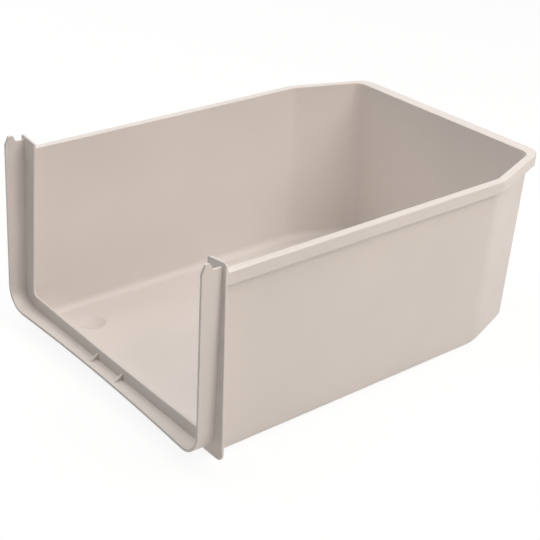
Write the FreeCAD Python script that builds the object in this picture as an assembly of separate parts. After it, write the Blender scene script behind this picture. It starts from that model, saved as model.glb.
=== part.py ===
import FreeCAD, Part
import math
import os
from FreeCAD import Vector

# Crisper drawer pan for a refrigerator, moulded in one piece.
# Millimetres, +Z up, open front towards -Y, +X to the right seen from the front.
# The pan is drawn with the front frame at y = 0 and centred at the end.

# Main sizes, at the inside of the rim
inner_width = 307.0
inner_depth = 415.4
rim_height = 188.6

# Slanted rear corners
corner_run = 75.0
corner_inset = 27.1

# Walls and bends
wall = 2.4
floor = 2.8
draft_deg = 1.7
side_bend = 20.0
side_bend_foot = 60.0
back_bend = 12.0
back_bend_foot = 18.0
floor_bend = 9.0
front_bend = 26.0

# Rim lip, turned outwards and down
lip_width = 8.4
corner_lip_width = 8.0
back_lip_width = 13.4
lip_skirt = 12.0
lip_round = 1.0
lip_blend = 9.0
rim_round = 0.8
skirt_round = 0.7

# Front frame: a flat U flange that leans back slightly
frame_lean_deg = 2.6
lean_height = rim_height * 0.52
flange_thick = 2.6
flange_top_width = inner_width + 28.0
flange_foot_width = inner_width + 49.6
flange_top = rim_height + 12.8
flange_tip_drop = 2.8
flange_foot = 16.6
ear_round = 7.0
flange_corner = 3.0
flange_inner_round = 2.5
edge_round = 0.8

# Opening in the front flange, with a low sill above the floor
opening_top_width = inner_width - 23.4
opening_sill_width = inner_width - 12.4
sill_height = 32.7
sill_sag = 1.5
opening_round = 6.0
opening_lap = 4.0

# Forward U plate that carried the front panel
plate_top_width = inner_width + 20.8
plate_foot_width = inner_width + 26.3
plate_depth = 17.6
post_depth = 20.4
plate_thick = 2.8
plate_round = 25.5
shelf_mid_depth = 12.8

# Upright tab on each post of the U plate
post_top = rim_height + 8.2
tab_top = rim_height + 14.3
tab_root_depth = 9.4
tab_back_depth = 12.2
tab_front_depth = 17.0
tab_slant = 8.5
tab_round = 1.2

# Gussets between the flange and the shelf
gusset_spacing = 44.0
gusset_thick = 2.0
gusset_height = 6.5
gusset_reach = 9.0
gusset_nose = 0.3

# Round dimples in the floor
dimple_spacing = 220.0
dimple_from_front = 43.5
dimple_diameter = 28.5
dimple_depth = 1.9
dimple_rim_round = 16.0

# Helper sizes: overlap past a cut, small clearance, sunk depth at a join,
# tolerance for picking edges, and a length beyond every part of the pan
over = 30.0
clear = 1.0
sink = 0.5
near = 0.01
beyond = inner_width + inner_depth
slope = math.tan(math.radians(draft_deg))


def plan(z, side_offset, corner_offset, back_offset):
    """Corner points of the pan in plan at height z, each wall moved outwards by its offset."""
    inset = slope * (rim_height - z)
    side = inner_width / 2
    length = math.hypot(corner_run, corner_inset)
    nx = corner_run / length
    ny = corner_inset / length
    reach = nx * side + ny * (inner_depth - corner_run) + corner_offset - inset
    x_side = side + side_offset - inset
    y_back = inner_depth + back_offset - inset
    y_side = (reach - nx * x_side) / ny
    x_back = (reach - ny * y_back) / nx
    return [
        Vector(-x_side, side_offset - over, z),
        Vector(-x_side, y_side, z),
        Vector(-x_back, y_back, z),
        Vector(x_back, y_back, z),
        Vector(x_side, y_side, z),
        Vector(x_side, side_offset - over, z),
    ]


def bend(before, corner, after, radius):
    """Start, middle and end of the arc that rounds a corner."""
    towards_before = (before - corner).normalize()
    towards_after = (after - corner).normalize()
    half_angle = towards_before.getAngle(towards_after) / 2
    reach = radius / math.tan(half_angle)
    inwards = (towards_before + towards_after).normalize()
    middle = corner + inwards * (radius / math.sin(half_angle) - radius)
    return corner + towards_before * reach, middle, corner + towards_after * reach


def bent_plan(points, side_radius, back_radius):
    """Closed wire of a pan plan with its four rear bends as arcs."""
    radii = [side_radius, back_radius, back_radius, side_radius]
    edges = []
    last = points[0]
    for i, radius in enumerate(radii, 1):
        start, middle, end = bend(points[i - 1], points[i], points[i + 1], radius)
        edges.append(Part.makeLine(last, start))
        edges.append(Part.Arc(start, middle, end).toShape())
        last = end
    edges.append(Part.makeLine(last, points[-1]))
    edges.append(Part.makeLine(points[-1], points[0]))
    return Part.Wire(edges)


def bend_at(rim_radius, foot_radius, z):
    """Radius of a bend that opens from the rim to the foot."""
    return rim_radius + (foot_radius - rim_radius) * (rim_height - z) / rim_height


def prism(points, direction):
    """Solid made by pushing a flat outline along a direction."""
    return Part.Face(Part.makePolygon(points + [points[0]])).extrude(direction)


def tapered(z_low, z_high, offset, foot_radius):
    """Drafted body of the pan with flat walls, rear bends and a rounded foot."""
    rings = []
    for z in (z_low, z_high):
        side_radius = bend_at(side_bend, side_bend_foot, z) + offset
        back_radius = bend_at(back_bend, back_bend_foot, z) + offset
        rings.append(bent_plan(plan(z, offset, offset, offset), side_radius, back_radius))
    faces = [Part.Face(ring) for ring in rings]
    for low, high in zip(rings[0].Edges, rings[1].Edges):
        if low.Curve.TypeId == "Part::GeomLine":
            corners = [v.Point for v in low.Vertexes] + [v.Point for v in reversed(high.Vertexes)]
            faces.append(Part.Face(Part.makePolygon(corners + [corners[0]])))
        else:
            faces.append(Part.makeRuledSurface(low, high))
    skin = Part.makeShell(faces)
    skin.sewShape()
    body = Part.makeSolid(skin)
    return body.makeFillet(foot_radius, level_edges(body, z_low))


def level_edges(body, z):
    """Edges of a body that lie at height z, except the one across the open front."""
    edges = []
    for edge in body.Edges:
        box = edge.BoundBox
        if abs(box.ZMax - z) < near and abs(box.ZMin - z) < near and box.YMax > 0:
            edges.append(edge)
    return edges


def along_y(edge):
    """True for an edge that runs from front to back."""
    box = edge.BoundBox
    return box.YLength > near and max(box.XLength, box.ZLength) < near


def lean(shape):
    """Lean a piece of the front frame back about its middle height."""
    turned = shape.copy()
    turned.rotate(Vector(0, 0, lean_height), Vector(1, 0, 0), -frame_lean_deg)
    return turned


def behind(y):
    """Large block behind the leaning plane at depth y."""
    return lean(Part.makeBox(2 * beyond, 2 * beyond, 2 * beyond, Vector(-beyond, y, -beyond)))


def front_block(y, z, radius):
    """Large block behind the leaning plane at depth y and above height z, its front foot rounded."""
    tilt = math.radians(frame_lean_deg)
    high = rim_height + 2 * over

    def on_plane(height):
        return Vector(-beyond, y / math.cos(tilt) + (height - lean_height) * math.tan(tilt), height)

    back = Vector(-beyond, beyond, z)
    top = on_plane(high)
    top_back = Vector(-beyond, beyond, high)
    start, middle, end = bend(top, on_plane(z), back, radius)
    edges = [
        Part.makeLine(top, start),
        Part.Arc(start, middle, end).toShape(),
        Part.makeLine(end, back),
        Part.makeLine(back, top_back),
        Part.makeLine(top_back, top),
    ]
    return Part.Face(Part.Wire(edges)).extrude(Vector(2 * beyond, 0, 0))


def lip_body():
    """Rim lip: flat top with a skirt turned down, open underneath."""
    low = rim_height - lip_skirt
    side_radius = side_bend + lip_width
    back_radius = back_bend + corner_lip_width
    outline = plan(rim_height, lip_width, corner_lip_width, back_lip_width)
    outline = [Vector(p.x, p.y, low) for p in outline]
    body = Part.Face(bent_plan(outline, side_radius, back_radius)).extrude(Vector(0, 0, lip_skirt))
    body = body.makeFillet(lip_round, level_edges(body, rim_height))
    body = body.makeFillet(skirt_round, level_edges(body, low))
    inner = plan(rim_height, lip_width - wall, corner_lip_width - wall, back_lip_width - wall)
    inner = [Vector(p.x, p.y, low - clear) for p in inner]
    channel = Part.Face(bent_plan(inner, side_radius - wall, back_radius - wall))
    return body.cut(channel.extrude(Vector(0, 0, lip_skirt + clear - wall)))


def rim_edges(body):
    """Edges of the rim where its flat top meets the inside of the walls."""
    edges = []
    for edge in level_edges(body, rim_height):
        box = edge.BoundBox
        inside_x = max(abs(box.XMin), abs(box.XMax)) < inner_width / 2 + clear
        inside_y = box.YMax < inner_depth + clear
        if inside_x and inside_y:
            edges.append(edge)
    return edges


def lip_blends():
    """Concave blends where the lip runs up into the back of the flange."""
    blends = []
    y = flange_thick + math.tan(math.radians(frame_lean_deg)) * (rim_height - lean_height)
    start = y - clear
    corner = Vector(0, start, rim_height - sink)
    foot = Vector(0, y + lip_blend, rim_height - sink)
    toe = Vector(0, y + lip_blend, rim_height)
    hollow = lip_blend * (1 - math.sqrt(0.5))
    middle = Vector(0, y + hollow, rim_height + hollow)
    tip = Vector(0, y, rim_height + lip_blend)
    crown = Vector(0, start, rim_height + lip_blend)
    edges = [
        Part.makeLine(corner, foot),
        Part.makeLine(foot, toe),
        Part.Arc(toe, middle, tip).toShape(),
        Part.makeLine(tip, crown),
        Part.makeLine(crown, corner),
    ]
    face = Part.Face(Part.Wire(edges))
    first = inner_width / 2 + rim_round
    width = lip_width - lip_round / 2 - rim_round
    for x in (first, -first - width):
        piece = face.copy()
        piece.translate(Vector(x, 0, 0))
        blends.append(piece.extrude(Vector(width, 0, 0)))
    return blends


def flange_body():
    """Flat front flange with rounded ears, tips and edges, and the opening cut in it."""
    foot = flange_foot_width / 2
    top = flange_top_width / 2
    tip = opening_top_width / 2
    outline = [
        Vector(-foot, 0, flange_foot),
        Vector(foot, 0, flange_foot),
        Vector(top, 0, flange_top),
        Vector(tip, 0, flange_top - flange_tip_drop),
        Vector(-tip, 0, flange_top - flange_tip_drop),
        Vector(-top, 0, flange_top),
    ]
    body = prism(outline, Vector(0, flange_thick, 0))
    low = [e for e in body.Edges if along_y(e) and e.BoundBox.Center.z < lean_height]
    body = body.makeFillet(ear_round, low)
    body = body.makeFillet(flange_corner, [e for e in upper_corners(body) if not is_tip(e)])
    body = body.cut(opening_body(0))
    body = body.makeFillet(flange_inner_round, [e for e in upper_corners(body) if is_tip(e)])
    rims = [e for e in body.Edges if e.BoundBox.YLength < near and e.BoundBox.ZMax > flange_foot + near]
    return body.makeFillet(edge_round, rims)


def upper_corners(body):
    """Front-to-back edges in the upper half of the frame."""
    return [e for e in body.Edges if along_y(e) and e.BoundBox.Center.z > lean_height]


def is_tip(edge):
    """True for an edge near the opening, at the inner tip of a post."""
    return abs(edge.BoundBox.Center.x) < opening_sill_width / 2


def opening_body(grow):
    """Opening of the front flange with rounded sill corners and a slight sag."""
    half_sill = opening_sill_width / 2 + grow
    half_top = opening_top_width / 2 + grow
    sill = sill_height - grow
    high = flange_top + over
    front = -over
    edges = [
        Part.Arc(
            Vector(-half_sill, front, sill),
            Vector(0, front, sill - sill_sag),
            Vector(half_sill, front, sill),
        ).toShape(),
        Part.makeLine(Vector(half_sill, front, sill), Vector(half_top, front, high)),
        Part.makeLine(Vector(half_top, front, high), Vector(-half_top, front, high)),
        Part.makeLine(Vector(-half_top, front, high), Vector(-half_sill, front, sill)),
    ]
    body = Part.Face(Part.Wire(edges)).extrude(Vector(0, 2 * over, 0))
    low = [e for e in body.Edges if along_y(e) and e.BoundBox.Center.z < lean_height]
    return body.makeFillet(opening_round + grow, low)


def plate_outline(inset):
    """Solid U outline of the forward plate, moved inwards by an inset."""
    foot = plate_foot_width / 2 - inset
    top = plate_top_width / 2 - inset
    low = flange_foot + inset
    high = tab_top + (over if inset else 0)
    outline = [
        Vector(-foot, -post_depth, low),
        Vector(foot, -post_depth, low),
        Vector(top, -post_depth, high),
        Vector(-top, -post_depth, high),
    ]
    body = prism(outline, Vector(0, post_depth + flange_thick / 2, 0))
    corners = [e for e in body.Edges if along_y(e) and e.BoundBox.Center.z < lean_height]
    return body.makeFillet(plate_round - inset, corners)


def plate_bow():
    """Cutter that gives the front edge of the shelf its shallow bow in plan."""
    half = plate_foot_width / 2 - plate_thick
    base = flange_foot - clear
    left = Vector(-half, -plate_depth, base)
    right = Vector(half, -plate_depth, base)
    far_right = right + Vector(0, -over, 0)
    far_left = left + Vector(0, -over, 0)
    edges = [
        Part.Arc(left, Vector(0, -shelf_mid_depth, base), right).toShape(),
        Part.makeLine(right, far_right),
        Part.makeLine(far_right, far_left),
        Part.makeLine(far_left, left),
    ]
    return Part.Face(Part.Wire(edges)).extrude(Vector(0, 0, plate_round + 2 * clear))


def post_cutters():
    """Cutters that shape both posts: a low edge and an upright tab on top, and a slanted front."""
    high = tab_top + over
    low = flange_foot - clear
    bow_top = low + plate_round + 2 * clear
    span = Vector(plate_foot_width + over, 0, 0)
    x = -(plate_foot_width + over) / 2
    back = [
        Vector(x, over, post_top),
        Vector(x, -tab_root_depth, post_top),
        Vector(x, -tab_back_depth, tab_top),
        Vector(x, -tab_back_depth, high),
        Vector(x, over, high),
    ]
    front = [
        Vector(x, -tab_front_depth, tab_top),
        Vector(x, -post_depth, tab_top - tab_slant),
        Vector(x, -plate_depth, bow_top),
        Vector(x, -plate_depth, low),
        Vector(x, -post_depth - over, low),
        Vector(x, -post_depth - over, high),
        Vector(x, -tab_front_depth, high),
    ]
    return [prism(back, span), prism(front, span)]


def plate_body():
    """Forward U plate with a bowed shelf and shaped posts."""
    body = plate_outline(0).cut(plate_outline(plate_thick))
    body = body.cut(plate_bow())
    for cutter in post_cutters():
        body = body.cut(cutter)
    tips = [e for e in body.Edges if e.BoundBox.ZMin > tab_top - near and e.BoundBox.YLength < near]
    return body.makeFillet(tab_round, tips)


def gusset_bodies():
    """Two small triangular gussets on the shelf."""
    shelf = flange_foot + plate_thick
    pieces = []
    for centre in (-gusset_spacing / 2, gusset_spacing / 2):
        x = centre - gusset_thick / 2
        outline = [
            Vector(x, sink, shelf - sink),
            Vector(x, -gusset_reach, shelf - sink),
            Vector(x, -gusset_reach, shelf + gusset_nose),
            Vector(x, 0, shelf + gusset_height),
            Vector(x, sink, shelf + gusset_height),
        ]
        pieces.append(prism(outline, Vector(gusset_thick, 0, 0)))
    return pieces


def dimple_bodies():
    """Shallow dished cutters for the floor dimples."""
    half = dimple_diameter / 2
    radius = (half * half + dimple_depth * dimple_depth) / (2 * dimple_depth)
    pieces = []
    for x in (-dimple_spacing / 2, dimple_spacing / 2):
        ball = Part.makeSphere(radius, Vector(x, dimple_from_front, floor + radius - dimple_depth))
        plug = Part.makeCylinder(half + clear, floor + sink, Vector(x, dimple_from_front, 0))
        pieces.append(ball.common(plug))
    return pieces


def dimple_edges(body):
    """Round edges of the dimples in the floor."""
    edges = []
    for edge in body.Edges:
        box = edge.BoundBox
        level = abs(box.ZMax - floor) < near and abs(box.ZMin - floor) < near
        if level and abs(box.XLength - dimple_diameter) < clear:
            edges.append(edge)
    return edges


def front_wall(outside, inside):
    """Low front wall of the pan behind the flange, curved into the floor."""
    body = outside.cut(inside.common(front_block(flange_thick, floor, front_bend)))
    body = body.cut(behind(flange_thick + over))
    return body.cut(lean(opening_body(opening_lap)))


# Pan shell with its lip, dimpled floor and rounded rim
outside = tapered(0, rim_height, wall, floor_bend + wall)
outside = outside.common(front_block(0, 0, front_bend + wall))
inside = tapered(floor, rim_height + over, 0, floor_bend)
shell = outside.fuse(lip_body()).cut(inside)
shell = shell.makeFillet(rim_round, rim_edges(shell))
shell = shell.cut(dimple_bodies())
shell = shell.makeFillet(dimple_rim_round, dimple_edges(shell))
shell = shell.common(behind(flange_thick / 2))

# Front frame
frame = [lean(flange_body()), lean(plate_body())] + [lean(g) for g in gusset_bodies()]

# One moulded piece
pan = shell.fuse([front_wall(outside, inside)] + frame + lip_blends())
pan = pan.removeSplitter()
pan = pan.Solids[0]

# Rest the pan on z = 0, centred over the origin
box = pan.optimalBoundingBox(False, False)
pan.translate(Vector(-box.Center.x, -box.Center.y, -box.ZMin))

os.makedirs("parts", exist_ok=True)
pan.exportStep("parts/drawer_pan.step")
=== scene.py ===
import math
from typing import NamedTuple

import bpy
from bpy.props import FloatProperty, FloatVectorProperty, PointerProperty
from mathutils import Matrix, Vector


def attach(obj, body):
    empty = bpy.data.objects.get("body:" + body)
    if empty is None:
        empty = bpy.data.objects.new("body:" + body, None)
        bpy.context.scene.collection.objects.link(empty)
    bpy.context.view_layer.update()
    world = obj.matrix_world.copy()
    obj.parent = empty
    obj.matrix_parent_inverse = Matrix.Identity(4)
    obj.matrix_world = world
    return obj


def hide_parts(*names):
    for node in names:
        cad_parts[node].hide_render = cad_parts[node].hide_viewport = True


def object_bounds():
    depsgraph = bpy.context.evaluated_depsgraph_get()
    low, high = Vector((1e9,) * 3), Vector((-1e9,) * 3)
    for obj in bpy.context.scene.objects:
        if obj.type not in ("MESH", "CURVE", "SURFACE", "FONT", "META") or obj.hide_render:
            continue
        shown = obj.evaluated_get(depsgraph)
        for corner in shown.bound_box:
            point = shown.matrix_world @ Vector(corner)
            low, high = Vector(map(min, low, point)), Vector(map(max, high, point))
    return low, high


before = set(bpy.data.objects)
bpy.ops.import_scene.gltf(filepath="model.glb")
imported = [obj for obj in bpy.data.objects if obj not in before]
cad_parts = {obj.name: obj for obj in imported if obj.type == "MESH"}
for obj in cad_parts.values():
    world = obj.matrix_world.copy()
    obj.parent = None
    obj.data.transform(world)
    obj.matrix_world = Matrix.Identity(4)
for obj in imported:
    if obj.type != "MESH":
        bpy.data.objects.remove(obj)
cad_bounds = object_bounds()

bl_info = {
    "name": "Crisper drawer pan",
    "version": (1, 0, 0),
    "blender": (4, 5, 0),
    "location": "3D View > Sidebar > Crisper pan",
    "description": "Builds the moulded crisper drawer pan and its studio stage",
    "category": "Object",
}

PAN_NODE = "drawer_pan"
PAN_BODY = "root"

# How the plastic bends and mirrors light
PLASTIC_IOR = 1.52
PLASTIC_SPECULAR = 0.45

# Nearly all values of a noise texture lie between these two
NOISE_LOW = 0.3
NOISE_HIGH = 0.7

# Patches of gloss across the width of one cloud of tone
PATCHES_PER_CLOUD = 5.0

# A dish rises with this power of the distance from its middle
DISH_POWER = 2.0

# Points below this part of a dimple's height lie on the underside of the pan
UNDERSIDE_SHARE = 0.25

# How much more large faces count than small ones in the shading where they meet
LARGE_FACE_WEIGHT = 90

# Grey of the floor as the pan sees it, and the light of the lamps on the floor
FLOOR_GREY = 0.80
FLOOR_LIGHT = 0.78

# Width of the camera's sensor in millimetres, and how far the camera sees in metres
SENSOR_WIDTH = 36.0
VIEW_REACH = 50.0


class SoftBox(NamedTuple):
    """Where a square soft lamp stands, in degrees and metres, and the setting that tints it."""

    name: str
    azimuth: float
    elevation: float
    distance: float
    size: float
    tint: str


SOFT_BOXES = (
    SoftBox("key", azimuth=125, elevation=42, distance=2.4, size=1.5, tint="warm_tint"),
    SoftBox("side", azimuth=100, elevation=35, distance=1.3, size=0.9, tint="warm_tint"),
    SoftBox("top", azimuth=0, elevation=90, distance=2.2, size=1.8, tint="warm_tint"),
    SoftBox("fill", azimuth=-45, elevation=60, distance=2.4, size=1.5, tint="soft_tint"),
    SoftBox("left", azimuth=-90, elevation=35, distance=2.4, size=1.5, tint="cool_tint"),
    SoftBox("back", azimuth=150, elevation=60, distance=2.4, size=1.5, tint="cool_tint"),
)


class PanMouldingSettings(bpy.types.PropertyGroup):
    """How the moulding is taken over from the solid."""

    weld_gap: FloatProperty(
        name="Weld gap",
        description="Corners of the solid's facets nearer than this become one",
        default=0.00002,
        min=0.0,
        precision=6,
        unit="LENGTH",
    )
    crease_angle: FloatProperty(
        name="Crease angle",
        description="Edges bent more sharply than this stay crisp",
        default=math.radians(34.0),
        subtype="ANGLE",
    )
    flat_angle: FloatProperty(
        name="Flat angle",
        description="Facets that differ by less than this are joined into one flat face",
        default=math.radians(0.05),
        subtype="ANGLE",
    )


class PanPlasticSettings(bpy.types.PropertyGroup):
    """Finish of the satin plastic."""

    colour: FloatVectorProperty(
        name="Colour",
        description="Warm light grey of the moulding",
        default=(0.825, 0.785, 0.760),
        size=3,
        min=0.0,
        max=1.0,
        subtype="COLOR",
    )
    cloud_spread: FloatProperty(
        name="Cloud spread",
        description="How far the tone drifts across the moulding",
        default=0.025,
        subtype="FACTOR",
    )
    cloud_size: FloatProperty(
        name="Cloud size",
        description="Width of one drift in tone",
        default=0.14,
        unit="LENGTH",
    )
    roughness_low: FloatProperty(
        name="Smoothest",
        description="Roughness where the surface is rubbed smooth",
        default=0.38,
        subtype="FACTOR",
    )
    roughness_high: FloatProperty(
        name="Roughest",
        description="Roughness where the surface is left as moulded",
        default=0.50,
        subtype="FACTOR",
    )
    grain_size: FloatProperty(
        name="Grain size",
        description="Width of one grain of the mould's fine texture",
        default=0.0011,
        precision=5,
        unit="LENGTH",
    )
    grain_depth: FloatProperty(
        name="Grain depth",
        description="Depth of the mould's fine texture",
        default=0.00002,
        precision=6,
        unit="LENGTH",
    )
    dimple_place: FloatVectorProperty(
        name="Dimple place",
        description="Middle of the right floor dimple; the left one mirrors it",
        default=(0.110, -0.16057, 0.0020),
        size=3,
        subtype="TRANSLATION",
    )
    dimple_radius: FloatProperty(
        name="Dimple radius",
        description="Reach of the smooth dish around the middle of a dimple",
        default=0.0140,
        precision=4,
        unit="LENGTH",
    )
    dimple_relief: FloatProperty(
        name="Dimple relief",
        description="Depth of the bump that makes a dimple show more clearly",
        default=0.0024,
        precision=4,
        unit="LENGTH",
    )
    dimple_roughness: FloatProperty(
        name="Dimple roughness",
        description="Roughness in the middle of a dimple",
        default=0.32,
        subtype="FACTOR",
    )


class PanStageSettings(bpy.types.PropertyGroup):
    """Floor, lamps and camera."""

    view_azimuth: FloatProperty(
        name="View azimuth",
        description="Turn of the camera about the pan, from its open front to the right",
        default=math.radians(50.475),
        subtype="ANGLE",
    )
    view_elevation: FloatProperty(
        name="View elevation",
        description="Height of the camera above the floor as an angle",
        default=math.radians(27.656),
        subtype="ANGLE",
    )
    view_roll: FloatProperty(
        name="View roll",
        description="Turn of the camera about its own line of sight",
        default=math.radians(2.311),
        subtype="ANGLE",
    )
    view_distance: FloatProperty(
        name="View distance",
        description="From the camera to the point it looks at",
        default=1.26,
        unit="LENGTH",
    )
    view_target: FloatVectorProperty(
        name="View target",
        description="The point that the camera looks at, from the middle of the pan's box",
        default=(0.00131, -0.01673, -0.03249),
        size=3,
        subtype="TRANSLATION",
    )
    lens: FloatProperty(
        name="Lens",
        description="Focal length in millimetres on a 36 mm sensor",
        default=82.621,
        unit="CAMERA",
    )
    floor_size: FloatProperty(
        name="Floor size",
        description="Side of the square floor",
        default=14.0,
        unit="LENGTH",
    )
    shadow_share: FloatProperty(
        name="Shadow share",
        description="Part of the floor's brightness that the pan's shadow can take away",
        default=0.12,
        subtype="FACTOR",
    )
    key_power: FloatProperty(
        name="Key lamp",
        description="Warm soft box high behind the pan on its right",
        default=8.4,
        unit="POWER",
    )
    side_power: FloatProperty(
        name="Side lamp",
        description="Warm soft box close on the right",
        default=5.7,
        unit="POWER",
    )
    top_power: FloatProperty(
        name="Top lamp",
        description="Warm soft box straight above",
        default=10.4,
        unit="POWER",
    )
    fill_power: FloatProperty(
        name="Fill lamp",
        description="Slightly warm soft box high in front on the left",
        default=14.6,
        unit="POWER",
    )
    left_power: FloatProperty(
        name="Left lamp",
        description="Cool soft box on the left",
        default=14.0,
        unit="POWER",
    )
    back_power: FloatProperty(
        name="Back lamp",
        description="Cool soft box high behind the pan",
        default=14.8,
        unit="POWER",
    )
    warm_tint: FloatVectorProperty(
        name="Warm tint",
        description="Colour of the lamps on the right and above",
        default=(1.0, 0.885, 0.795),
        size=3,
        min=0.0,
        max=1.0,
        subtype="COLOR",
    )
    soft_tint: FloatVectorProperty(
        name="Soft tint",
        description="Colour of the fill lamp in front",
        default=(1.0, 0.945, 0.905),
        size=3,
        min=0.0,
        max=1.0,
        subtype="COLOR",
    )
    cool_tint: FloatVectorProperty(
        name="Cool tint",
        description="Colour of the lamps on the left and behind",
        default=(0.960, 0.990, 1.0),
        size=3,
        min=0.0,
        max=1.0,
        subtype="COLOR",
    )


class CrisperPanSettings(bpy.types.PropertyGroup):
    """All settings of the crisper pan."""

    moulding: PointerProperty(
        type=PanMouldingSettings,
        name="Moulding",
        description="How the moulding is taken over from the solid",
    )
    plastic: PointerProperty(
        type=PanPlasticSettings,
        name="Plastic",
        description="Finish of the satin plastic",
    )
    stage: PointerProperty(
        type=PanStageSettings,
        name="Stage",
        description="Floor, lamps and camera",
    )


def add_node(tree, kind, **values):
    """New node of a kind in a tree, with its plain settings."""
    node = tree.nodes.new(kind)
    for name, value in values.items():
        setattr(node, name, value)
    return node


def dimple_dish(tree, place, settings):
    """Value that is 0 in the middle of the two floor dimples and 1 all around them."""
    link = tree.links.new
    x, y, z = settings.dimple_place
    nearest = add_node(tree, "ShaderNodeMath", operation="MINIMUM")
    for count, middle in enumerate(((x, y, z), (-x, y, z))):
        reach = add_node(tree, "ShaderNodeVectorMath", operation="DISTANCE")
        reach.inputs[1].default_value = middle
        link(place, reach.inputs[0])
        link(reach.outputs["Value"], nearest.inputs[count])
    slope = add_node(tree, "ShaderNodeMapRange")
    slope.inputs["From Min"].default_value = 0.0
    slope.inputs["From Max"].default_value = settings.dimple_radius
    hollow = add_node(tree, "ShaderNodeMath", operation="POWER")
    hollow.inputs[1].default_value = DISH_POWER
    link(nearest.outputs["Value"], slope.inputs["Value"])
    link(slope.outputs["Result"], hollow.inputs[0])

    height = add_node(tree, "ShaderNodeSeparateXYZ")
    below = add_node(tree, "ShaderNodeMath", operation="LESS_THAN")
    below.inputs[1].default_value = z * UNDERSIDE_SHARE
    dish = add_node(tree, "ShaderNodeMath", operation="MAXIMUM")
    link(place, height.inputs["Vector"])
    link(height.outputs["Z"], below.inputs[0])
    link(hollow.outputs["Value"], dish.inputs[0])
    link(below.outputs["Value"], dish.inputs[1])
    return dish.outputs["Value"]


def noise_over(tree, place, size, detail):
    """Noise over the moulding, with spots about as wide as the size."""
    noise = add_node(tree, "ShaderNodeTexNoise")
    noise.inputs["Scale"].default_value = 1.0 / size
    noise.inputs["Detail"].default_value = detail
    tree.links.new(place, noise.inputs["Vector"])
    return noise.outputs["Fac"]


def cloud_colour(tree, place, settings):
    """Colour that drifts a little in tone across the moulding."""
    tone = add_node(tree, "ShaderNodeValToRGB")
    dark, light = tone.color_ramp.elements
    dark.position = NOISE_LOW
    light.position = NOISE_HIGH
    dark.color = [c * (1.0 - settings.cloud_spread) for c in settings.colour] + [1.0]
    light.color = [c * (1.0 + settings.cloud_spread) for c in settings.colour] + [1.0]
    cloud = noise_over(tree, place, settings.cloud_size, detail=4.0)
    tree.links.new(cloud, tone.inputs["Fac"])
    return tone.outputs["Color"]


def satin_roughness(tree, place, dish, settings):
    """Roughness in patches, smoothest in the middle of the dimples."""
    link = tree.links.new
    gloss = add_node(tree, "ShaderNodeMapRange")
    gloss.inputs["From Min"].default_value = NOISE_LOW
    gloss.inputs["From Max"].default_value = NOISE_HIGH
    gloss.inputs["To Min"].default_value = settings.roughness_low
    gloss.inputs["To Max"].default_value = settings.roughness_high
    patch = noise_over(tree, place, settings.cloud_size / PATCHES_PER_CLOUD, detail=6.0)
    link(patch, gloss.inputs["Value"])
    polish = add_node(tree, "ShaderNodeMix", data_type="FLOAT")
    polish.inputs["A"].default_value = settings.dimple_roughness
    link(dish, polish.inputs["Factor"])
    link(gloss.outputs["Result"], polish.inputs["B"])
    return polish.outputs["Result"]


def mould_relief(tree, place, dish, settings):
    """Surface normal with the mould's fine grain and the bump of the dimples."""
    link = tree.links.new
    relief = add_node(tree, "ShaderNodeBump")
    relief.inputs["Distance"].default_value = settings.grain_depth
    grain = noise_over(tree, place, settings.grain_size, detail=2.0)
    link(grain, relief.inputs["Height"])
    deepened = add_node(tree, "ShaderNodeBump")
    deepened.inputs["Distance"].default_value = settings.dimple_relief
    link(dish, deepened.inputs["Height"])
    link(relief.outputs["Normal"], deepened.inputs["Normal"])
    return deepened.outputs["Normal"]


def pan_plastic(settings):
    """Satin plastic: faint clouds of tone, patches of gloss, smooth dimples, a fine mould grain."""
    material = bpy.data.materials.new("pan_plastic")
    material.use_nodes = True
    tree = material.node_tree
    shader = tree.nodes["Principled BSDF"]
    shader.inputs["IOR"].default_value = PLASTIC_IOR
    shader.inputs["Specular IOR Level"].default_value = PLASTIC_SPECULAR
    place = add_node(tree, "ShaderNodeTexCoord").outputs["Object"]
    dish = dimple_dish(tree, place, settings)
    finishes = {
        "Base Color": cloud_colour(tree, place, settings),
        "Roughness": satin_roughness(tree, place, dish, settings),
        "Normal": mould_relief(tree, place, dish, settings),
    }
    for name, value in finishes.items():
        tree.links.new(value, shader.inputs[name])
    return material


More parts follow.
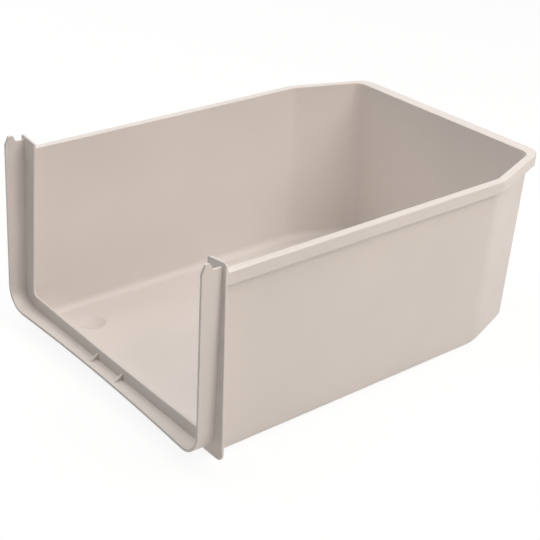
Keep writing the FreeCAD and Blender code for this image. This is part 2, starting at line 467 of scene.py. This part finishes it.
def moulding_tree():
    """Node tree that welds the facets of a solid, shades its bends smooth and finishes it."""
    tree = bpy.data.node_groups.new("moulding_from_solid", "GeometryNodeTree")
    socket = tree.interface.new_socket
    socket("Geometry", in_out="OUTPUT", socket_type="NodeSocketGeometry")
    socket("Solid", in_out="INPUT", socket_type="NodeSocketObject")
    socket("Weld gap", in_out="INPUT", socket_type="NodeSocketFloat")
    socket("Crease angle", in_out="INPUT", socket_type="NodeSocketFloat")
    socket("Plastic", in_out="INPUT", socket_type="NodeSocketMaterial")
    link = tree.links.new
    given = add_node(tree, "NodeGroupInput")
    result = add_node(tree, "NodeGroupOutput")

    solid = add_node(tree, "GeometryNodeObjectInfo", transform_space="ORIGINAL")
    weld = add_node(tree, "GeometryNodeMergeByDistance")
    link(given.outputs["Solid"], solid.inputs["Object"])
    link(solid.outputs["Geometry"], weld.inputs["Geometry"])
    link(given.outputs["Weld gap"], weld.inputs["Distance"])

    bend = add_node(tree, "GeometryNodeInputMeshEdgeAngle")
    soft = add_node(tree, "FunctionNodeCompare", data_type="FLOAT", operation="LESS_THAN")
    smooth_faces = add_node(tree, "GeometryNodeSetShadeSmooth", domain="FACE")
    smooth_edges = add_node(tree, "GeometryNodeSetShadeSmooth", domain="EDGE")
    link(bend.outputs["Unsigned Angle"], soft.inputs["A"])
    link(given.outputs["Crease angle"], soft.inputs["B"])
    link(weld.outputs["Geometry"], smooth_faces.inputs["Geometry"])
    link(smooth_faces.outputs["Geometry"], smooth_edges.inputs["Geometry"])
    link(soft.outputs["Result"], smooth_edges.inputs["Shade Smooth"])

    realize = add_node(tree, "GeometryNodeRealizeInstances")
    finish = add_node(tree, "GeometryNodeSetMaterial")
    link(smooth_edges.outputs["Geometry"], realize.inputs["Geometry"])
    link(realize.outputs["Geometry"], finish.inputs["Geometry"])
    link(given.outputs["Plastic"], finish.inputs["Material"])
    link(finish.outputs["Geometry"], result.inputs["Geometry"])
    return tree


def set_inputs(modifier, values):
    """Give a node modifier its inputs by the identifiers of their sockets."""
    for item in modifier.node_group.interface.items_tree:
        if item.name in values:
            modifier[item.identifier] = values[item.name]


def made_plain(obj):
    """Turn what the modifiers of an object give into its plain mesh."""
    bpy.context.view_layer.update()
    graph = bpy.context.evaluated_depsgraph_get()
    mesh = bpy.data.meshes.new_from_object(obj.evaluated_get(graph), depsgraph=graph)
    if not mesh.polygons:
        raise RuntimeError(f"{obj.name} has no faces")
    obj.modifiers.clear()
    obj.data = mesh
    mesh.name = obj.name


def link_new(name, data):
    """New object in the scene's collection."""
    obj = bpy.data.objects.new(name, data)
    bpy.context.scene.collection.objects.link(obj)
    return obj


class CRISPER_OT_pan_moulding(bpy.types.Operator):
    """Build the one-piece pan from its solid, welded, smooth in its bends and in satin plastic"""

    bl_idname = "crisper.pan_moulding"
    bl_label = "Pan moulding"

    def execute(self, context):
        settings = context.scene.crisper_pan
        pan = link_new("pan_moulding", bpy.data.meshes.new("pan_moulding"))
        nodes = pan.modifiers.new("moulding", "NODES")
        nodes.node_group = moulding_tree()
        set_inputs(nodes, {
            "Solid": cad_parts[PAN_NODE],
            "Weld gap": settings.moulding.weld_gap,
            "Crease angle": settings.moulding.crease_angle,
            "Plastic": pan_plastic(settings.plastic),
        })
        flat = pan.modifiers.new("flat_faces", "DECIMATE")
        flat.decimate_type = "DISSOLVE"
        flat.angle_limit = settings.moulding.flat_angle
        shading = pan.modifiers.new("even_shading", "WEIGHTED_NORMAL")
        shading.weight = LARGE_FACE_WEIGHT
        shading.keep_sharp = True
        made_plain(pan)
        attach(pan, PAN_BODY)
        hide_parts(PAN_NODE)
        return {"FINISHED"}


def shows_backdrop(tree):
    """Value that is 1 for rays that should meet the white backdrop itself."""
    path = add_node(tree, "ShaderNodeLightPath")
    value = path.outputs["Is Camera Ray"]
    for name in ("Is Glossy Ray", "Is Transmission Ray"):
        either = add_node(tree, "ShaderNodeMath", operation="MAXIMUM")
        tree.links.new(value, either.inputs[0])
        tree.links.new(path.outputs[name], either.inputs[1])
        value = either.outputs["Value"]
    return value


def grey(level):
    """Plain grey of a level, 1 for white."""
    return (level, level, level, 1.0)


def white_backdrop():
    """World that shows white and sends no light of its own."""
    world = bpy.data.worlds.new("backdrop")
    world.use_nodes = True
    tree = world.node_tree
    light = tree.nodes["Background"]
    light.inputs["Color"].default_value = grey(1.0)
    tree.links.new(shows_backdrop(tree), light.inputs["Strength"])
    return world


def floor_paint(shadow_share):
    """White floor that keeps a soft share of the pan's shadow."""
    material = bpy.data.materials.new("floor_paint")
    material.use_nodes = True
    tree = material.node_tree
    link = tree.links.new
    tree.nodes.remove(tree.nodes["Principled BSDF"])
    plain = add_node(tree, "ShaderNodeBsdfDiffuse")
    plain.inputs["Color"].default_value = grey(FLOOR_GREY)
    shaded = add_node(tree, "ShaderNodeBsdfDiffuse")
    shaded.inputs["Color"].default_value = grey(shadow_share)
    glow = add_node(tree, "ShaderNodeEmission")
    glow.inputs["Strength"].default_value = 1.0 - shadow_share * FLOOR_LIGHT
    seen = add_node(tree, "ShaderNodeAddShader")
    choice = add_node(tree, "ShaderNodeMixShader")
    link(shaded.outputs["BSDF"], seen.inputs[0])
    link(glow.outputs["Emission"], seen.inputs[1])
    link(shows_backdrop(tree), choice.inputs["Fac"])
    link(plain.outputs["BSDF"], choice.inputs[1])
    link(seen.outputs["Shader"], choice.inputs[2])
    link(choice.outputs["Shader"], tree.nodes["Material Output"].inputs["Surface"])
    return material


def white_floor(settings, level):
    """Square floor at a level."""
    half = settings.floor_size / 2
    signs = ((-1, -1), (1, -1), (1, 1), (-1, 1))
    corners = [(x * half, y * half, level) for x, y in signs]
    mesh = bpy.data.meshes.new("floor")
    mesh.from_pydata(corners, [], [(0, 1, 2, 3)])
    mesh.materials.append(floor_paint(settings.shadow_share))
    return link_new("floor", mesh)


def stand_at(azimuth, elevation, distance, middle):
    """Point at a distance from the middle, by azimuth from the open front and elevation."""
    level = math.cos(elevation) * distance
    across = math.sin(azimuth) * level
    along = -math.cos(azimuth) * level
    return middle + Vector((across, along, math.sin(elevation) * distance))


def soft_box(box, settings, middle):
    """Square soft lamp that faces the middle of the pan."""
    lamp = bpy.data.lights.new(f"{box.name}_lamp", "AREA")
    lamp.shape = "SQUARE"
    lamp.size = box.size
    lamp.energy = getattr(settings, f"{box.name}_power")
    lamp.color = getattr(settings, box.tint)
    obj = link_new(lamp.name, lamp)
    azimuth = math.radians(box.azimuth)
    elevation = math.radians(box.elevation)
    obj.location = stand_at(azimuth, elevation, box.distance, middle)
    aim = middle - obj.location
    obj.rotation_euler = aim.to_track_quat("-Z", "Y").to_euler()
    return obj


def studio_camera(settings, middle):
    """Camera at the set angle, distance and roll."""
    azimuth = settings.view_azimuth
    elevation = settings.view_elevation
    roll = settings.view_roll
    target = middle + Vector(settings.view_target)
    place = stand_at(azimuth, elevation, settings.view_distance, target)
    forward = (target - place).normalized()
    right = Vector((math.cos(azimuth), math.sin(azimuth), 0.0))
    up = right.cross(forward)
    rolled_right = right * math.cos(roll) + up * math.sin(roll)
    rolled_up = up * math.cos(roll) - right * math.sin(roll)
    turn = Matrix((rolled_right, rolled_up, -forward)).transposed()
    lens = bpy.data.cameras.new("studio_camera")
    lens.sensor_width = SENSOR_WIDTH
    lens.lens = settings.lens
    lens.clip_end = VIEW_REACH
    camera = link_new("studio_camera", lens)
    camera.matrix_world = Matrix.Translation(place) @ turn.to_4x4()
    return camera


class CRISPER_OT_stage(bpy.types.Operator):
    """Set up the white floor, the soft lamps and the camera"""

    bl_idname = "crisper.stage"
    bl_label = "Studio stage"

    def execute(self, context):
        settings = context.scene.crisper_pan.stage
        low, high = cad_bounds
        middle = (low + high) / 2
        floor = white_floor(settings, low.z)
        lamps = [soft_box(box, settings, middle) for box in SOFT_BOXES]
        camera = studio_camera(settings, middle)
        context.scene.camera = camera
        context.scene.world = white_backdrop()
        context.scene.view_settings.view_transform = "Standard"
        return {"FINISHED"}


class CRISPER_PT_panel(bpy.types.Panel):
    """Sidebar panel of the crisper pan"""

    bl_label = "Crisper pan"
    bl_space_type = "VIEW_3D"
    bl_region_type = "UI"
    bl_category = "Crisper pan"

    def draw(self, context):
        settings = context.scene.crisper_pan
        for group, operator in (
            ((settings.moulding, settings.plastic), CRISPER_OT_pan_moulding),
            ((settings.stage,), CRISPER_OT_stage),
        ):
            box = self.layout.box()
            for values in group:
                for name in values.__annotations__:
                    box.prop(values, name)
            box.operator(operator.bl_idname)


CLASSES = (
    PanMouldingSettings,
    PanPlasticSettings,
    PanStageSettings,
    CrisperPanSettings,
    CRISPER_OT_pan_moulding,
    CRISPER_OT_stage,
    CRISPER_PT_panel,
)


def register():
    """Register the classes and the scene's settings."""
    for cls in CLASSES:
        bpy.utils.register_class(cls)
    bpy.types.Scene.crisper_pan = PointerProperty(
        type=CrisperPanSettings,
        name="Crisper pan",
        description="All settings of the crisper pan",
    )


def unregister():
    """Take the settings and the classes away again."""
    del bpy.types.Scene.crisper_pan
    for cls in reversed(CLASSES):
        bpy.utils.unregister_class(cls)


def main():
    """Build the pan and its stage."""
    register()
    bpy.ops.crisper.pan_moulding()
    bpy.ops.crisper.stage()


if __name__ == "__main__":
    main()
